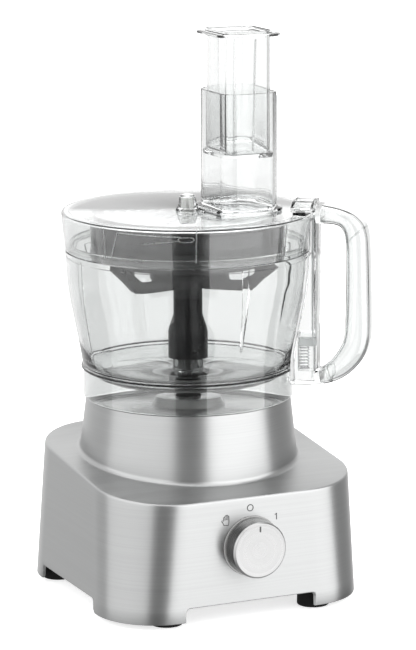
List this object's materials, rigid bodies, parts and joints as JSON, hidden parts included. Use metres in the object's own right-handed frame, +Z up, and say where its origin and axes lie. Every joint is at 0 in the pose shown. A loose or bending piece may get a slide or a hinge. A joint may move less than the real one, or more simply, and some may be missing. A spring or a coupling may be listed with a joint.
{
  "type": "food processor",
  "caption": "Bench food processor: brushed metal motor base with a knob, clear lift-off bowl with loop handle, clear lid with feed chute and pusher, and a grating disc on a stem.",
  "frame": {"origin": "on the surface the feet stand on, under the middle of the object's outer box", "axes": "+Z up, -Y towards the front with the control knob, +X to the right as seen from the front"},
  "size_m": [0.2721, 0.2824, 0.524],
  "materials": {
    "housing_alu": "fine horizontal brushing, satin",
    "knob_alu": "turned satin face",
    "bracket_alu": "as cast",
    "rubber_black": "matte black rubber",
    "plastic_dark": "dark grey glass-filled plastic",
    "plastic_black": "black plastic, slight gloss",
    "plastic_grey": "grey moulded plastic",
    "steel": "plain steel",
    "disc_steel": "polished stainless sheet",
    "lamination": "varnished lamination stack",
    "copper_winding": "enamelled copper coils",
    "capacitor_white": "off-white plastic",
    "board_green": "coated circuit board",
    "seal_pale": "pale translucent silicone",
    "clear_plastic": "clear polycarbonate"
  },
  "bodies": {
    "base": {"base_housing": "housing_alu", "base_plate": "plastic_dark", "foot_front_left": "rubber_black", "foot_front_right": "rubber_black", "foot_back_left": "rubber_black", "foot_back_right": "rubber_black", "foot_screw_1": "steel", "foot_screw_2": "steel", "foot_screw_3": "steel", "foot_screw_4": "steel", "deck_plate": "plastic_grey", "shaft_seal": "rubber_black", "motor_stator": "lamination", "winding_upper": "copper_winding", "winding_lower": "copper_winding", "motor_top_bracket": "bracket_alu", "motor_bottom_bracket": "bracket_alu", "bearing_upper": "steel", "bearing_lower": "steel", "tie_bolt_1": "steel", "tie_bolt_2": "steel", "tie_bolt_3": "steel", "tie_bolt_4": "steel", "run_capacitor": "capacitor_white", "control_board": "board_green", "rotary_switch": "plastic_black", "knob_bezel": "plastic_black", "interlock_sensor": "plastic_black", "cable_gland": "rubber_black"},
    "knob": {"control_knob": "knob_alu"},
    "rotor": {"rotor_core": "lamination", "motor_shaft": "steel", "cooling_fan": "plastic_dark", "drive_coupling": "plastic_black"},
    "bowl": {"bowl": "clear_plastic", "handle_column": "clear_plastic", "handle_grip": "clear_plastic", "interlock_spring": "steel"},
    "interlock": {"interlock_rod": "capacitor_white"},
    "tool": {"drive_stem": "plastic_black", "disc_carrier": "plastic_black", "grating_disc": "disc_steel"},
    "lid_ring": {"lid_seal": "seal_pale"},
    "lid": {"lid_cover": "clear_plastic", "feed_chute": "clear_plastic", "lid_bush": "capacitor_white"},
    "pusher": {"pusher": "clear_plastic"}
  },
  "joints": [
    {"name": "knob_turn", "type": "hinge", "parent": "base", "child": "knob", "pos_m": [-0.0079, -0.12225, 0.07], "axis": [0, 1, 0], "range_deg": [-45, 45]},
    {"name": "rotor_spin", "type": "hinge", "parent": "base", "child": "rotor", "pos_m": [-0.0079, 0.01525, 0.105], "axis": [0, 0, 1], "continuous": true},
    {"name": "bowl_lift", "type": "slide", "parent": "base", "child": "bowl", "axis": [0, 0, 1], "range_m": [0, 0.12]},
    {"name": "tool_spin", "type": "hinge", "parent": "bowl", "child": "tool", "pos_m": [-0.0079, 0.01525, 0.285], "axis": [0, 0, 1], "continuous": true},
    {"name": "lid_lift", "type": "slide", "parent": "bowl", "child": "lid_ring", "axis": [0, 0, 1], "range_m": [0, 0.1]},
    {"name": "lid_turn", "type": "hinge", "parent": "lid_ring", "child": "lid", "pos_m": [-0.0079, 0.01525, 0.345], "axis": [0, 0, 1], "range_deg": [0, 20]},
    {"name": "rod_rise", "type": "slide", "parent": "bowl", "child": "interlock", "axis": [0, 0, 1], "range_m": [0, 0.005], "deforming": ["interlock_spring"]},
    {"name": "pusher_slide", "type": "slide", "parent": "lid", "child": "pusher", "axis": [0, 0, 1], "range_m": [-0.051, 0.12]}
  ],
  "couplings": [
    {"joint": "tool_spin", "follows": "rotor_spin", "ratio": 1},
    {"joint": "rod_rise", "follows": "lid_turn", "m_per_rad": 0.014323}
  ]
}
